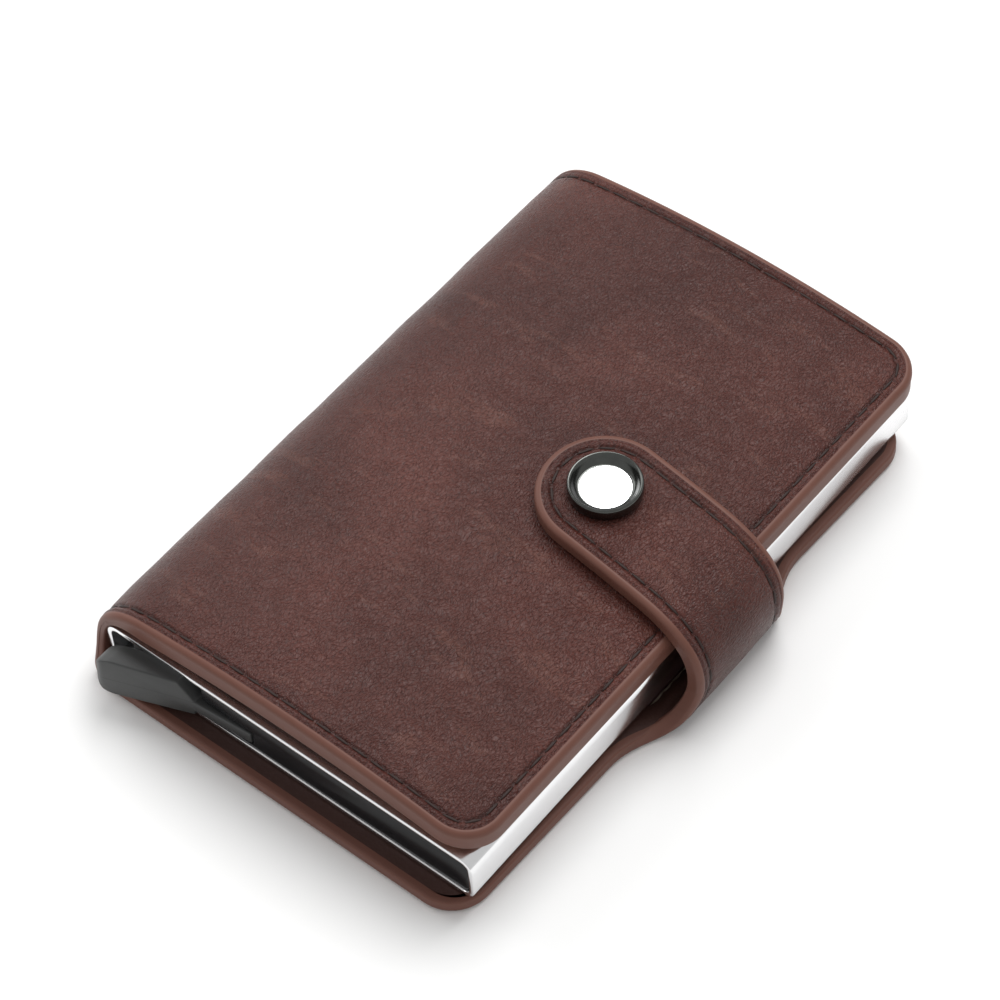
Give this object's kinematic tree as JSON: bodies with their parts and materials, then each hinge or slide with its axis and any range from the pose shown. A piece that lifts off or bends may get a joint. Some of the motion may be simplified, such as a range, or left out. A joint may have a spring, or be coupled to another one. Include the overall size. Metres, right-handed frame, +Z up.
{
  "type": "pop-up card case",
  "caption": "Pop-up card case: slim aluminium card tube with an eject lever at its base, in a padded leather wrap closed by a snap strap.",
  "frame": {"origin": "on the resting face of the back panel, under the middle of the card tube", "axes": "+X across the case from the folded spine towards the strap, +Y along the case towards the card mouth, +Z up from the back panel to the cover"},
  "size_m": [0.0721, 0.1043, 0.0229],
  "materials": {
    "leather": "grained",
    "lining": "smooth",
    "tube_metal": "satin anodised",
    "black_plastic": "gloss",
    "lever_plastic": "fine matt",
    "steel": "drawn",
    "snap_metal": "black nickel",
    "felt": "felt",
    "foam": "foam",
    "board": "fibre board",
    "tape": "adhesive film"
  },
  "bodies": {
    "case": {"card_tube": "tube_metal", "base_cap": "black_plastic", "lever_pin": "steel", "return_spring": "steel", "guide_rail_left": "black_plastic", "guide_rail_right": "black_plastic", "friction_strip_lower": "felt", "friction_strip_upper": "felt", "mounting_tape": "tape", "back_leather": "leather", "back_board": "board", "back_lining": "lining", "spine_leather": "leather", "spine_lining": "lining", "cover_leather": "leather", "cover_foam": "foam", "cover_board": "board", "cover_lining": "lining", "pocket_rear": "lining", "pocket_front": "lining", "snap_stud": "snap_metal"},
    "eject_lever": {"eject_lever": "lever_plastic"},
    "strap_riser": {"strap_riser_leather": "leather", "strap_riser_lining": "lining"},
    "strap_tip": {"strap_tip_leather": "leather", "strap_tip_lining": "lining", "snap_socket": "snap_metal", "snap_cap": "snap_metal"}
  },
  "joints": [
    {"name": "strap_lower_fold", "type": "hinge", "parent": "case", "child": "strap_riser", "pos_m": [0.0352, 0.0003, 0.0011], "axis": [0, 1, 0], "range_deg": [0, 70]},
    {"name": "strap_upper_fold", "type": "hinge", "parent": "strap_riser", "child": "strap_tip", "pos_m": [0.034, 0.0014, 0.01586], "axis": [0, 1, 0], "range_deg": [0, 70]},
    {"name": "lever_press", "type": "hinge", "parent": "case", "child": "eject_lever", "pos_m": [0.014, -0.0447, 0.0054], "axis": [0, 0, -1], "range_deg": [0, 5], "stiffness_Nm_per_rad": 0.15, "springref_deg": -8.59}
  ],
  "couplings": [
    {"joint": "strap_upper_fold", "follows": "strap_lower_fold", "ratio": 1}
  ]
}
